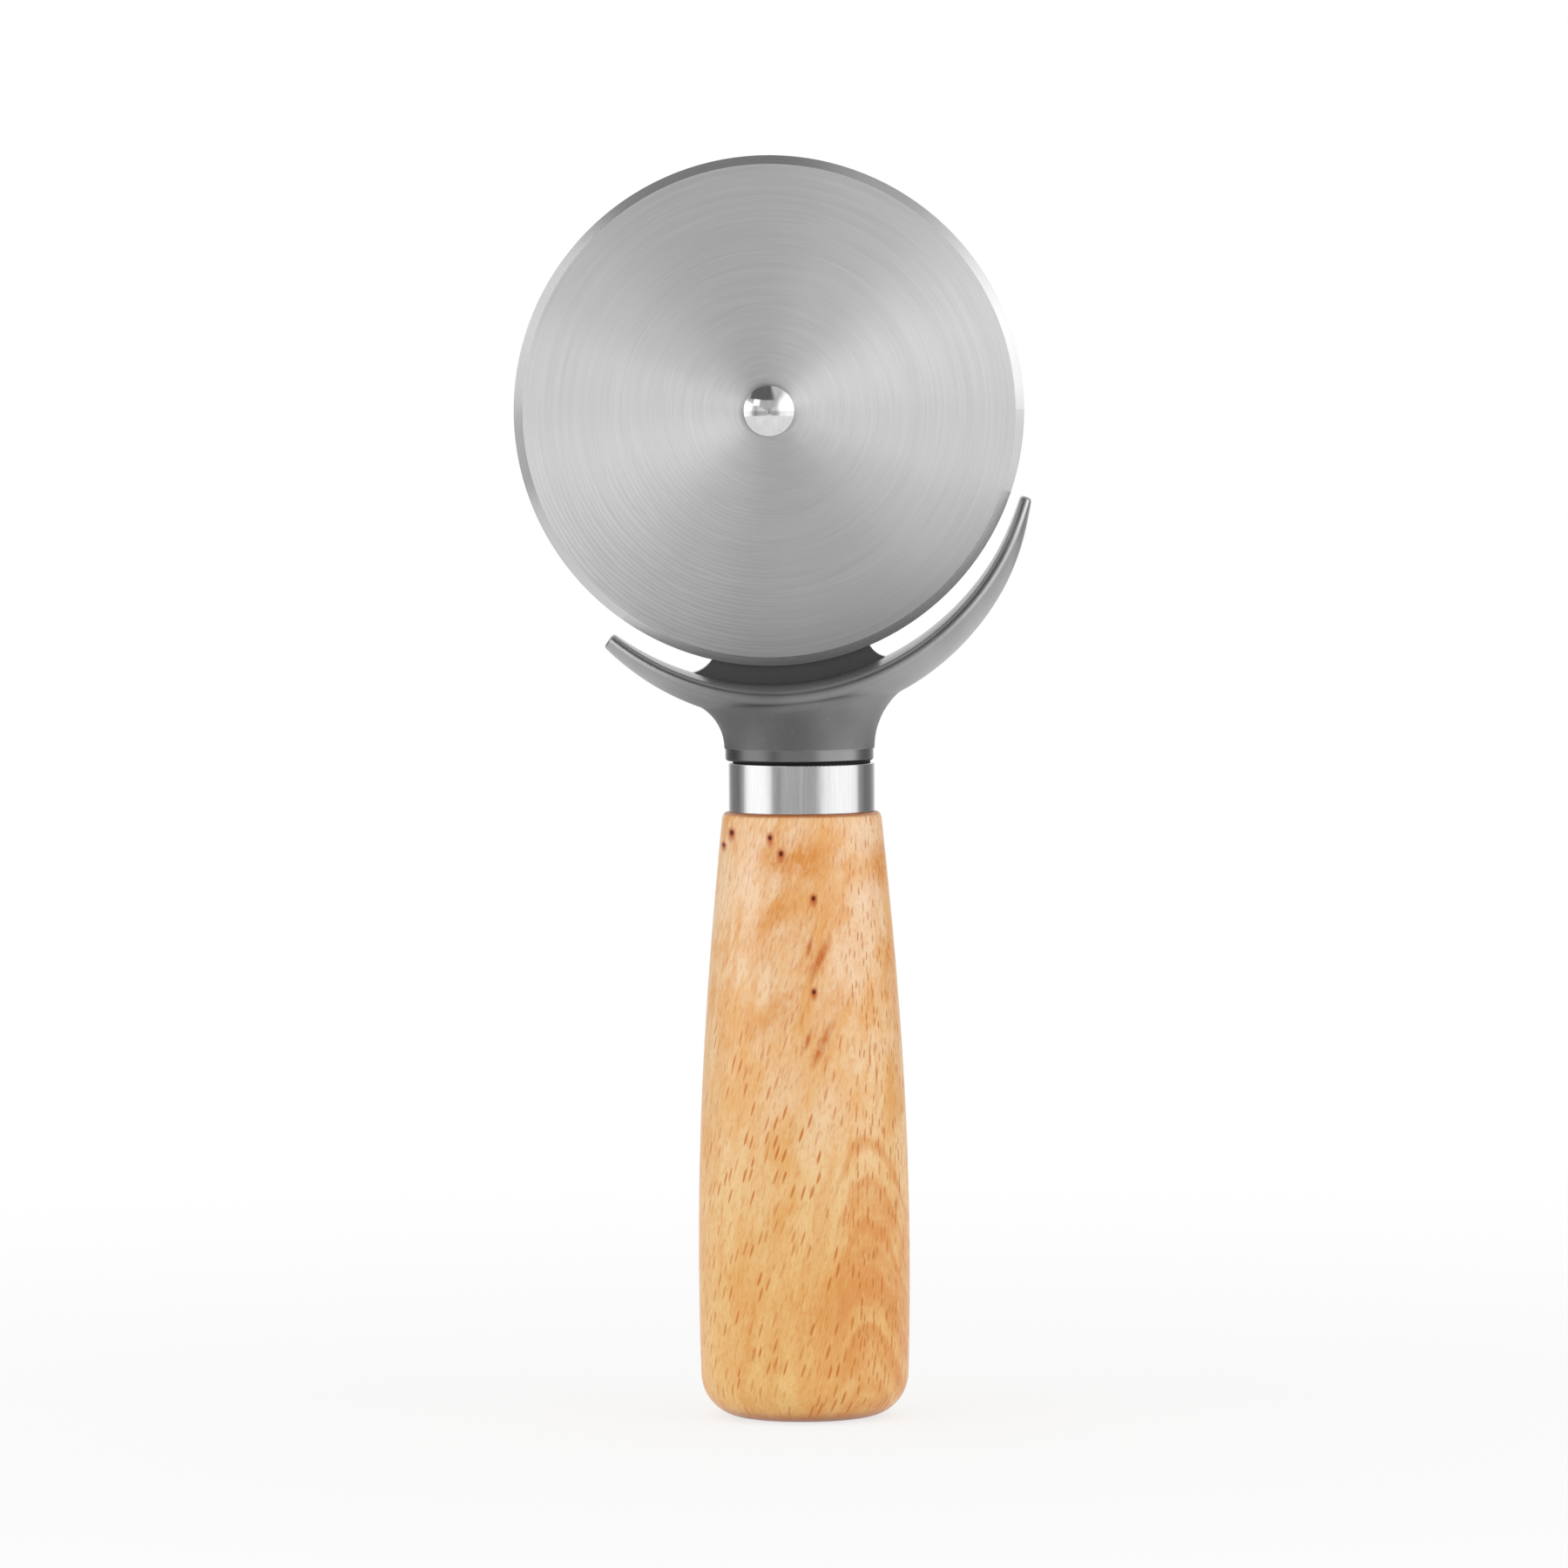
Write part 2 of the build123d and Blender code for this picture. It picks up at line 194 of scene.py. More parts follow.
# Wood
# Colours of its layers
PALE_LOW = (0.84, 0.55, 0.215)
PALE_HIGH = (0.90, 0.655, 0.42)
WARM_LOW = (0.785, 0.41, 0.12)
WARM_HIGH = (0.83, 0.45, 0.165)
BAND_ORANGE = (0.74, 0.33, 0.085)
SWIRL_ORANGE = (0.78, 0.345, 0.085)
ARC_ORANGE = (0.69, 0.265, 0.055)
ARC_PALE = (0.85, 0.56, 0.27)
PATCH_ORANGE = (0.72, 0.285, 0.06)
# Pale pink of the paler figure and of the painted sheen
SHEEN_AND_PALE_FIGURE_PINK = (0.90, 0.66, 0.45)
STROKE_RED = (0.55, 0.135, 0.012)
FIBRE_ORANGE = (0.66, 0.25, 0.045)
FIBRE_PALE = (0.90, 0.62, 0.34)
MOTTLE_ORANGE = (0.71, 0.28, 0.055)
FLECK_RED = (0.575, 0.155, 0.012)
SMALL_FLECK_RED = (0.46, 0.105, 0.005)
HALO_RED = (0.50, 0.085, 0.0)
KNOT_DARK = (0.11, 0.012, 0.0)
JOINT_BROWN = (0.42, 0.105, 0.010)
RIM_BROWN = (0.46, 0.13, 0.02)
GLUE_DARK = (0.030, 0.022, 0.016)

# Fineness of the wood's noises, per mm across, through and along the handle
WARP_GRAIN = (0.22, 0.22, 0.16)
FINE_WARP_GRAIN = (0.8, 0.8, 0.5)
CLOUD_GRAIN = (0.16, 0.16, 0.07)
BAND_GRAIN = (0.55, 0.55, 0.05)
SWIRL_GRAIN = (0.34, 0.34, 0.10)
ARC_GRAIN = 0.165
RIPPLE_GRAIN = (0.9, 0.9, 0.7)
STREAK_GRAIN = (2.0, 2.0, 1.0)
FIBRE_GRAIN = (5.0, 5.0, 0.55)
MOTTLE_GRAIN = (1.6, 1.6, 0.8)
CROWD_GRAIN = (0.18, 0.18, 0.10)

# How far the warp moves the figure at most, in mm to a side and in mm up or down
WARP_SIDE = 2.5
WARP_UP = 1.2

# How far the wood's figure leans to the right, as a slope
FIGURE_LEAN = 0.16
SWIRL_LEAN = 0.6
FIBRE_LEAN = 0.20
# Lean of the flecks: two places x in mm, and the slope at each
FLECK_LEANS = (0.0, 12.0, 0.29, 0.06)

# Two values of a noise, and the share of the layer that it drives at each
CLOUD_SHARES = (0.36, 0.66, 0.0, 1.0)
BAND_SHARES = (0.48, 0.70, 0.0, 0.40)
SWIRL_SHARES = (0.48, 0.64, 0.0, 0.50)
ARC_DARK_SHARES = (0.44, 0.56, 0.0, 0.72)
ARC_PALE_SHARES = (0.30, 0.43, 0.45, 0.0)
PATCH_SHARES = (0.30, 0.66, 0.60, 1.20)
STROKE_SHARES = (0.30, 0.55, 0.50, 1.0)
FIBRE_DARK_SHARES = (0.50, 0.70, 0.0, 0.46)
FIBRE_PALE_SHARES = (0.30, 0.48, 0.42, 0.0)
MOTTLE_SHARES = (0.52, 0.70, 0.0, 0.36)
CROWD_SHARES = (0.38, 0.60, 0.60, 1.0)
# The same for the wood's roughness, which its fibre drives
FIBRE_ROUGHNESS = (0.3, 0.8, 0.42, 0.55)

# Places in mm between which a layer of the figure comes or goes
FRONT_END = (-3.0, 0.0)
PALER_HEIGHTS = (8.0, 80.0)
SWIRL_HEIGHTS = (52.0, 68.0)
ARC_END_HEIGHTS = (41.0, 48.0)
# Two places in mm, and the share of the flecks at each, by height and from the middle to the right
LONG_FLECK_HEIGHTS = (52.0, 66.0, 1.0, 0.30)
SMALL_FLECK_HEIGHTS = (45.0, 62.0, 0.26, 0.38)
SMALL_FLECK_SIDE = (5.0, 8.0, 0.0, 0.50)
# The same for the dark joint and the glue, in mm over the handle's shoulder, and for the butt's rim
JOINT_HEIGHTS = (-0.60, -0.12, 0.0, 0.90)
GLUE_HEIGHTS = (0.2, 0.6, 0.0, 1.0)
RIM_HEIGHTS = (0.0, 2.2, 0.80, 0.0)

# The nested arcs in mm: x of their axis, where they end to the left of it, how they fall away with
# the square of the distance from it, and how much of the warp they follow
ARC_AXIS = 9.2
ARC_LEFT_END = (-6.5, -2.5)
ARC_FALL = 0.34
ARC_WARP = 0.5

# Width of a pin knot as a share of its length, and the edges of the knot and of its halo as shares
# of the knot's radius
KNOT_WIDTH = 0.75
KNOT_EDGE = (0.45, 1.0)
HALO_EDGE = (0.4, 2.3)
# Two places in mm over the knot, and the halo's width as a share of its length at each
HALO_WIDTHS = (-0.6, 0.6, 0.46, 0.80)
HALO_SHARE = 0.90

# Mean radius of the handle in mm, for the way round it
HANDLE_RADIUS = 14.5
# Flecks are dashes, at most one in each cell. Sizes are in mm. A cell's dash is missing under the
# low end of chance and full over its high end
LONG_FLECKS = {
    "half_width": 0.22,
    "half_length": 1.30,
    "cell_width": 1.20,
    "cell_height": 3.4,
    "cell_offset": 0.0,
    "chance": (0.42, 0.74),
}
SMALL_FLECKS = {
    "half_width": 0.15,
    "half_length": 0.80,
    "cell_width": 0.8,
    "cell_height": 2.2,
    "cell_offset": 37.0,
    "chance": (0.45, 0.85),
}
# Where a dash ends, in shares of its half width and length, and the share of its colour
DASH_EDGE = (0.55, 1.1)
FLECK_SHARE = 0.85
# Where an oval of the figure ends, in shares of its half width and height
SPOT_END = 1.35

# Pin knots on the front of the handle: x, height and radius in mm
PIN_KNOTS = (
    (-10.3, 86.5, 0.40),
    (-11.5, 84.6, 0.28),
    (-4.7, 86.0, 0.38),
    (-3.1, 83.7, 0.42),
    (1.6, 77.2, 0.38),
    (1.6, 63.6, 0.36),
)
# Darker orange figure on the front: x and height of the middle, half width, half height and lean in
# mm, and the share of the darker colour
FIGURE_PATCHES = (
    (-0.4, 82.6, 7.0, 3.6, 0.0, 0.85),
    (-3.6, 74.6, 2.6, 5.0, 0.8, 0.62),
    (-4.0, 60.8, 3.0, 4.8, 0.6, 0.58),
    (1.0, 75.5, 7.5, 9.0, 0.3, 0.32),
    (2.5, 61.0, 4.0, 6.0, 0.5, 0.26),
    (11.8, 82.0, 2.4, 4.6, 0.0, 0.80),
    (13.6, 68.0, 1.2, 14.0, 0.0, 0.45),
    (11.0, 29.4, 2.4, 5.0, 0.0, 0.65),
    (8.8, 20.2, 3.6, 4.6, 0.0, 0.65),
    (2.6, 16.5, 3.0, 5.5, 0.3, 0.50),
    (7.0, 8.6, 4.4, 2.6, 0.0, 0.50),
    (-9.5, 12.0, 2.0, 7.0, 0.3, 0.25),
)
# Paler, pinkish patches on the front, with the share of the paler colour: the first four, high on both
# flanks, are a painted sheen of the lacquer, and the last two are paler figure
SHEEN_AND_PALE_FIGURE_PATCHES = (
    (8.6, 86.0, 4.0, 3.6, 0.0, 0.75),
    (9.2, 77.0, 3.0, 3.4, 0.0, 0.85),
    (7.4, 68.5, 2.8, 7.0, 0.2, 0.60),
    (-7.2, 80.0, 2.2, 9.0, 0.0, 0.80),
    (-2.5, 50.0, 4.5, 7.0, 0.3, 0.35),
    (3.0, 45.0, 4.0, 7.0, 0.3, 0.35),
)
# Reddish strokes on the front, with the share of the red
FIGURE_STROKES = (
    (2.5, 68.4, 0.85, 3.8, 0.42, 1.0),
    (2.7, 55.8, 0.85, 3.6, 0.42, 1.0),
    (0.9, 70.0, 0.50, 1.8, 0.25, 1.0),
    (0.7, 56.6, 0.48, 1.6, 0.25, 1.0),
)


class Beech:
    """Lacquered beech in layers: a method that takes a colour lays one layer over it."""

    def __init__(self):
        self.material, self.g = new_material("beech_lacquered")
        g = self.g
        self.place = g.place()
        self.x, self.y, self.z = g.split(self.place)
        self.front = g.fall(self.y, *FRONT_END)
        warp = g.noise(g.scaled(self.place, WARP_GRAIN))
        self.warp_x = g.line(warp, 2 * WARP_SIDE, -WARP_SIDE)
        fine_warp = g.noise(g.scaled(self.place, FINE_WARP_GRAIN))
        self.warp_z = g.line(fine_warp, 2 * WARP_UP, -WARP_UP)
        across = g.math("ADD", g.line(self.z, -FIGURE_LEAN, self.x), self.warp_x)
        self.figure = g.join(across, self.y, self.z)

    def cloudy_ground(self):
        """Soft clouds, paler and pinker towards the top, more orange towards the butt."""
        g = self.g
        cloud = g.noise(g.scaled(self.figure, CLOUD_GRAIN), detail=4.0, roughness=0.6)
        band = g.noise(g.scaled(self.figure, BAND_GRAIN))
        higher = g.step(self.z, *PALER_HEIGHTS)
        pale = g.mix(higher, PALE_LOW, PALE_HIGH)
        warm = g.mix(higher, WARM_LOW, WARM_HIGH)
        colour = g.mix(g.step(cloud, *CLOUD_SHARES), pale, warm)
        return g.mix(g.step(band, *BAND_SHARES), colour, BAND_ORANGE)

    def leaning_swirls(self, colour):
        """Leaning orange figure over the upper half."""
        g = self.g
        leaning = g.math("ADD", g.line(self.z, -SWIRL_LEAN, self.x), self.warp_x)
        swirl_place = g.scaled(g.join(leaning, self.y, self.z), SWIRL_GRAIN)
        swirl = g.noise(swirl_place, detail=3.0, distortion=0.6)
        share = g.times(g.step(swirl, *SWIRL_SHARES), g.step(self.z, *SWIRL_HEIGHTS))
        return g.mix(share, colour, SWIRL_ORANGE)

    def nested_arcs(self, colour):
        """Nested arcs low on the right, of uneven width."""
        g = self.g
        side = g.math("SUBTRACT", g.line(self.warp_x, ARC_WARP, self.x), ARC_AXIS)
        drop = g.times(g.math("POWER", side, 2.0), ARC_FALL)
        height = g.math("ADD", g.math("ADD", self.z, drop), g.times(self.warp_z, ARC_WARP))
        bands = g.noise(g.join(0.0, 0.0, g.times(height, ARC_GRAIN)), detail=1.5)
        area = g.times(g.fall(height, *ARC_END_HEIGHTS), g.step(side, *ARC_LEFT_END), self.front)
        colour = g.mix(g.times(g.step(bands, *ARC_DARK_SHARES), area), colour, ARC_ORANGE)
        return g.mix(g.times(g.step(bands, *ARC_PALE_SHARES), area), colour, ARC_PALE)

    def spots(self, table, core, bend):
        """Largest share at a point of the leaning soft ovals of a table.

        An oval is full inside its core, and bend is how far the warp pulls its edge.
        """
        g = self.g
        share = 0.0
        for middle_x, middle_z, half_width, half_height, lean, strength in table:
            up = g.math("SUBTRACT", self.z, middle_z)
            side = g.line(up, -lean, g.math("SUBTRACT", self.x, middle_x))
            side = g.line(self.warp_x, bend, side)
            up = g.line(self.warp_z, bend, up)
            oval = g.oval(side, up, half_width, half_height)
            share = g.math("MAXIMUM", share, g.step(oval, core, SPOT_END, strength, 0.0))
        return g.times(share, self.front)

    def front_figure(self, colour):
        """Patches and strokes on the front, and a painted sheen of the lacquer high on both flanks."""
        g = self.g
        ripple = g.noise(g.scaled(self.place, RIPPLE_GRAIN), detail=3.0, distortion=1.2)
        streaks = g.noise(g.scaled(self.figure, STREAK_GRAIN), detail=3.0)
        orange = self.spots(FIGURE_PATCHES, core=0.15, bend=1.1)
        # Pale patches: the first four are a painted sheen of the lacquer, the last two paler figure
        pale = self.spots(SHEEN_AND_PALE_FIGURE_PATCHES, core=0.1, bend=1.2)
        strokes = self.spots(FIGURE_STROKES, core=0.1, bend=0.0)
        colour = g.mix(g.times(orange, g.step(ripple, *PATCH_SHARES)), colour, PATCH_ORANGE)
        colour = g.mix(pale, colour, SHEEN_AND_PALE_FIGURE_PINK)
        return g.mix(g.times(strokes, g.step(streaks, *STROKE_SHARES)), colour, STROKE_RED)

    def fine_fibre(self, colour):
        """Fine fibre and mottle, leaning with the grain."""
        g = self.g
        fibre_x = g.math("SUBTRACT", self.x, g.times(self.z, FIBRE_LEAN))
        fibre_place = g.join(fibre_x, self.y, self.z)
        self.fibre = g.noise(g.scaled(fibre_place, FIBRE_GRAIN), detail=4.0, roughness=0.7)
        mottle = g.noise(g.scaled(fibre_place, MOTTLE_GRAIN), detail=3.0, roughness=0.6)
        colour = g.mix(g.step(self.fibre, *FIBRE_DARK_SHARES), colour, FIBRE_ORANGE)
        colour = g.mix(g.step(self.fibre, *FIBRE_PALE_SHARES), colour, FIBRE_PALE)
        return g.mix(g.step(mottle, *MOTTLE_SHARES), colour, MOTTLE_ORANGE)

    def dashes(self, half_width, half_length, cell_width, cell_height, cell_offset, chance):
        """Short leaning dashes round the handle."""
        g = self.g
        bearing = g.math("ARCTAN2", self.x, g.times(self.y, -1.0))
        girth = g.times(bearing, HANDLE_RADIUS)
        grid = g.join(g.line(girth, 1 / cell_width, cell_offset), g.times(self.z, 1 / cell_height))
        cells = g.node(
            "ShaderNodeTexVoronoi",
            {"Vector": grid, "Scale": 1.0, "Randomness": 0.9},
            voronoi_dimensions="2D",
        )
        local = g.vector("SUBTRACT", grid, cells.outputs["Position"])
        side, up, _ = g.split(g.scaled(local, (cell_width, cell_height, 0.0)))
        side = g.math("SUBTRACT", side, g.times(up, g.step(self.x, *FLECK_LEANS)))
        dash = g.fall(g.oval(side, up, half_width, half_length), *DASH_EDGE)
        return g.times(dash, g.step(g.split(cells.outputs["Color"])[0], *chance))

    def ray_flecks(self, colour):
        """Long flecks, strongest on the lower half, and small ones all over, strongest on the right."""
        g = self.g
        crowd = g.step(g.noise(g.scaled(self.place, CROWD_GRAIN)), *CROWD_SHARES)
        lower = g.step(self.z, *LONG_FLECK_HEIGHTS)
        self.flecks = g.times(self.dashes(**LONG_FLECKS), lower, crowd)
        right = g.step(self.x, *SMALL_FLECK_SIDE)
        strength = g.math("ADD", right, g.step(self.z, *SMALL_FLECK_HEIGHTS))
        small = g.times(self.dashes(**SMALL_FLECKS), strength)
        colour = g.mix(g.times(self.flecks, FLECK_SHARE), colour, FLECK_RED)
        return g.mix(g.times(small, FLECK_SHARE), colour, SMALL_FLECK_RED)

    def pin_knots(self, colour):
        """Pin knots, each dark with a reddish halo that trails down the grain."""
        g = self.g
        knot = 0.0
        halo = 0.0
        for middle_x, middle_z, radius in PIN_KNOTS:
            side, _, up = g.split(g.vector("SUBTRACT", self.place, (middle_x, 0.0, middle_z)))
            core = g.oval(side, up, radius, radius / KNOT_WIDTH)
            knot = g.math("MAXIMUM", knot, g.fall(core, *KNOT_EDGE))
            tail = g.oval(side, g.times(up, g.step(up, *HALO_WIDTHS)), radius, radius)
            halo = g.math("MAXIMUM", halo, g.fall(tail, *HALO_EDGE))
        colour = g.mix(g.times(halo, self.front, HALO_SHARE), colour, HALO_RED)
        return g.mix(g.times(knot, self.front), colour, KNOT_DARK)

    def dark_ends(self, colour):
        """The wood is darker at the ferrule and round the butt, and glue darkens its tenon."""
        g = self.g
        over_shoulder = g.math("SUBTRACT", self.z, shoulder)
        colour = g.mix(g.step(over_shoulder, *JOINT_HEIGHTS), colour, JOINT_BROWN)
        colour = g.mix(g.step(self.z, *RIM_HEIGHTS), colour, RIM_BROWN)
        return g.mix(g.step(over_shoulder, *GLUE_HEIGHTS), colour, GLUE_DARK)

    def lacquer(self, colour):
        """Clear coat over the finished colour, and the wood's relief: raised fibre, sunken flecks."""
        g = self.g
        height = g.math("SUBTRACT", g.times(self.fibre, 0.5), self.flecks)
        g.finish(
            Base_Color=colour,
            Roughness=g.step(self.fibre, *FIBRE_ROUGHNESS),
            Normal=g.bump(height, distance=0.03 * MM, strength=0.5),
            Specular_IOR_Level=0.1,
            Coat_Weight=0.45,
            Coat_Roughness=0.20,
        )
        return self.material


def beech():
    wood = Beech()
    colour = wood.cloudy_ground()
    colour = wood.leaning_swirls(colour)
    colour = wood.nested_arcs(colour)
    colour = wood.front_figure(colour)
    colour = wood.fine_fibre(colour)
    colour = wood.ray_flecks(colour)
    colour = wood.pin_knots(colour)
    colour = wood.dark_ends(colour)
    return wood.lacquer(colour)


# Metals
# Blade: share of the fine turning lines in the shade, greys over the shade, and two values of the
# shade with the roughness at each
FINE_SHARE = 0.78
FACE_GREYS = ((0.28, 0.75), (0.5, 0.81), (0.72, 0.87))
FACE_ROUGHNESS = (0.3, 0.7, 0.48, 0.43)
# Ground bevel: its width in mm, half width of its soft edge, its colour and its change of roughness
BEVEL_WIDTH = 1.30
BEVEL_BLUR = 0.06
BEVEL_STEEL = (0.60, 0.60, 0.605)
BEVEL_ROUGHNESS = -0.24
# Coarser tool marks under a painted shade: their spacing in mm, how far their phase wanders in radians,
# and their greys, darker than the face's greys for the painted shade
MARK_SPACING = 0.62
MARK_WANDER = 16.0
MARK_AND_SHADE_GREYS = ((0.0, 0.67), (0.5, 0.72), (1.0, 0.775))
# Way from the axle to the side of the face where the marks and their painted shade show, how near it
# they begin and are full, as cosines, and two radii in mm with their share at each
MARKED_AND_SHADED_SIDE = (-0.58, 0.0, -0.81)
MARKED_AND_SHADED_EDGE = (0.70, 0.95)
MARK_AND_SHADE_SHARES = (4.0, 36.0, 0.2, 1.0)


def turned_steel():
    """Blade: concentric turning lines that stretch each highlight into a fan, a ground bevel, and
    coarser tool marks on one side of the face under a painted shade.
    """
    made, g = new_material("blade_turned_steel")
    offset = g.vector("SUBTRACT", g.place(), axle)
    in_plane = g.scaled(offset, (1.0, 0.0, 1.0))
    radius = g.length(in_plane)
    turn = g.vector("NORMALIZE", in_plane)
    round_x, _, round_z = g.split(turn)

    def arcs(fineness, length, detail):
        """Noise drawn out round the axle."""
        ring = g.join(g.times(radius, fineness), g.times(round_x, length), g.times(round_z, length))
        return g.noise(ring, detail=detail, roughness=0.6)

    fine = arcs(fineness=8.0, length=1.6, detail=4.0)
    broad = arcs(fineness=0.9, length=0.9, detail=2.0)
    shade = g.math("ADD", g.times(fine, FINE_SHARE), g.times(broad, 1.0 - FINE_SHARE))
    colour = g.ramp(shade, *FACE_GREYS)

    # Coarser tool marks, evenly spaced, show on one side of the face, more so outwards, and a painted
    # shade darkens that side
    wander = g.times(arcs(fineness=0.9, length=1.8, detail=3.0), MARK_WANDER)
    marks = g.line(g.math("SINE", g.line(radius, math.tau / MARK_SPACING, wander)), 0.5, 0.5)
    nearness = g.vector("DOT_PRODUCT", turn, MARKED_AND_SHADED_SIDE, out="Value")
    marked_and_shaded = g.times(g.step(nearness, *MARKED_AND_SHADED_EDGE), g.step(radius, *MARK_AND_SHADE_SHARES))
    colour = g.mix(marked_and_shaded, colour, g.ramp(marks, *MARK_AND_SHADE_GREYS))

    bevel_start = blade_radius - BEVEL_WIDTH
    bevel = g.step(radius, bevel_start - BEVEL_BLUR, bevel_start + BEVEL_BLUR)
    g.finish(
        Base_Color=g.mix(bevel, colour, BEVEL_STEEL),
        Metallic=1.0,
        Roughness=g.line(bevel, BEVEL_ROUGHNESS, g.step(shade, *FACE_ROUGHNESS)),
        Anisotropic=1.0,
        Anisotropic_Rotation=0.25,
        Tangent=g.node("ShaderNodeTangent", direction_type="RADIAL", axis="Y").outputs[0],
        Normal=g.bump(fine, distance=0.01 * MM, strength=0.9),
    )
    return made


# Casting: colours of the plating, its specks, the painted shade on the arm's front and the painted
# shade in the groove over the ferrule
PLATING_DARK = (0.225, 0.226, 0.229)
PLATING_LIGHT = (0.265, 0.266, 0.269)
SPECK_GREY = (0.42, 0.42, 0.42)
ARM_SHADE_GREY = (0.125, 0.125, 0.127)
GROOVE_SHADE = (0.035, 0.034, 0.033)
# Heights in mm between which the collar's polish ends, and the painted light and shade from side to
# side on the lower part
COLLAR_END = (98.5, 98.9)
LOWER_END = (103.0, 109.0)
# Changes with height: two heights in mm, and the value at each; the first is painted light and shade on
# the tone, the second a change of roughness
PAINTED_LIGHT_BY_HEIGHT = (103.0, 112.5, 0.76, 1.50)
MATT_BY_HEIGHT = (103.0, 110.0, 0.17, -0.06)
# Painted light and shade from side to side: two places x in mm, and the change of tone at each
SIDE_SHADE_LEFT = (-9.0, -2.0, -0.20, -0.09)
SIDE_LIGHT_RIGHT = (4.5, 10.5, 0.0, 0.40)
COLLAR_LIGHT_LEFT = (-5.0, -2.5, -0.20, 0.16)
COLLAR_LIGHT_RIGHT = (2.5, 5.5, 0.0, -0.14)
# Two values of the specks' noise, and their share at each
SPECK_SHARES = (0.74, 0.80, 0.0, 0.35)
# Two values of the grain with the roughness at each, and the changes of roughness on the polished
# collar, in the groove and on the arm's front
GRAIN_ROUGHNESS = (0.3, 0.7, 0.34, 0.42)
COLLAR_ROUGHNESS = -0.32
GROOVE_ROUGHNESS = 0.40
ARM_ROUGHNESS = 0.12
# How much brighter the polished collar is
COLLAR_TONE = 0.16
# Distances in mm from the arm's front, and Y of the surface's normal, between which the painted shade
# ends
ARM_DEPTH = (0.05, 0.30)
ARM_FACING = (-0.995, -0.95)
# Height of the groove over the ferrule, and of its soft edge, in mm
GROOVE_HEIGHT = 0.50
GROOVE_BLUR = 0.2


def plated_casting():
    """Satin grey plating over a zinc casting: faint cloudy tone, fine orange peel and small specks.
    Painted light and shade brighten it upwards and from -X to +X, and painted shade darkens the arm's
    front and the groove over the ferrule.
    """
    made, g = new_material("plated_casting_satin")
    place = g.place()
    x, y, z = g.split(place)
    cloud = g.noise(place, scale=0.12, detail=3.0)
    grain = g.noise(place, scale=5.0, detail=3.0, roughness=0.7)
    specks = g.noise(place, scale=1.7, detail=1.0)
    colour = g.ramp(cloud, (0.3, PLATING_DARK), (0.7, PLATING_LIGHT))
    colour = g.mix(g.step(specks, *SPECK_SHARES), colour, SPECK_GREY)

    # Painted light and shade by height: the crescent is painted brighter and the neck under it darker;
    # the neck is also rougher, and the collar is polished
    height_light = g.step(z, *PAINTED_LIGHT_BY_HEIGHT)
    matt = g.step(z, *MATT_BY_HEIGHT)
    polished = g.fall(z, *COLLAR_END)

    # Painted light and shade from side to side: the neck and the collar are darker towards -X and
    # lighter towards +X, and the collar is also darker at its left and lighter in its middle
    side_light = g.math("ADD", g.step(x, *SIDE_SHADE_LEFT), g.step(x, *SIDE_LIGHT_RIGHT))
    side_light = g.line(g.fall(z, *LOWER_END), side_light, 1.0)
    collar_light = g.math("ADD", g.step(x, *COLLAR_LIGHT_LEFT), g.step(x, *COLLAR_LIGHT_RIGHT))
    tone = g.times(side_light, g.line(polished, COLLAR_TONE, height_light), g.line(polished, collar_light, 1.0))
    colour = g.mix(1.0, colour, tone, blend="MULTIPLY")

    # Painted shade on the arm's flat front, behind the blade, where the blade and the guard shade it;
    # that front is also rougher
    facing = g.split(g.coordinates("Normal"))[1]
    off_arm = g.math("ABSOLUTE", g.math("SUBTRACT", y, arm_front))
    arm_shade = g.times(g.fall(off_arm, *ARM_DEPTH), g.fall(facing, *ARM_FACING))
    colour = g.mix(arm_shade, colour, ARM_SHADE_GREY)

    # Painted shade darkens the groove over the ferrule
    groove_top = ferrule_top + GROOVE_HEIGHT
    groove = g.fall(z, groove_top, groove_top + GROOVE_BLUR)
    colour = g.mix(groove, colour, GROOVE_SHADE)

    rough = g.math("ADD", g.step(grain, *GRAIN_ROUGHNESS), matt)
    rough = g.line(polished, COLLAR_ROUGHNESS, rough)
    rough = g.line(groove, GROOVE_ROUGHNESS, rough)
    g.finish(
        Base_Color=colour,
        Metallic=1.0,
        Roughness=g.line(arm_shade, ARM_ROUGHNESS, rough),
        Normal=g.bump(grain, distance=0.01 * MM, strength=0.10),
    )
    return made


# Fineness of the streaks of drawn steel, per mm: along Z, or the same every way
STREAKS_ALONG = (2.5, 2.5, 0.12)
STREAKS_EVEN = (1.5, 1.5, 1.5)
# Two values of the wear's noise, and the change of roughness at each
WORN_ROUGHNESS = (0.5, 0.8, 0.0, 0.04)


def drawn_steel(name, level, rough, streak_grain=STREAKS_ALONG):
    """Plain or satin steel with fine streaks, of a mean grey level and a mean roughness."""
    made, g = new_material(name)
    place = g.place()
    streaks = g.noise(g.scaled(place, streak_grain), detail=4.0, roughness=0.7)
    worn = g.step(g.noise(place, scale=0.9), *WORN_ROUGHNESS)
    g.finish(
        Base_Color=g.ramp(streaks, (0.25, level * 0.90), (0.75, level * 1.06)),
        Metallic=1.0,
        Roughness=g.math("ADD", g.step(streaks, 0.3, 0.7, rough * 0.85, rough * 1.2), worn),
        Normal=g.bump(streaks, distance=0.004 * MM, strength=0.3),
    )
    return made


# Chrome: fineness of the wipe marks per mm, greys over them, and two values of them with the
# roughness at each
WIPE_GRAIN = (1.6, 1.6, 0.5)
CHROME_GREYS = ((0.3, 0.65), (0.7, 0.73))
CHROME_ROUGHNESS = (0.3, 0.8, 0.05, 0.11)
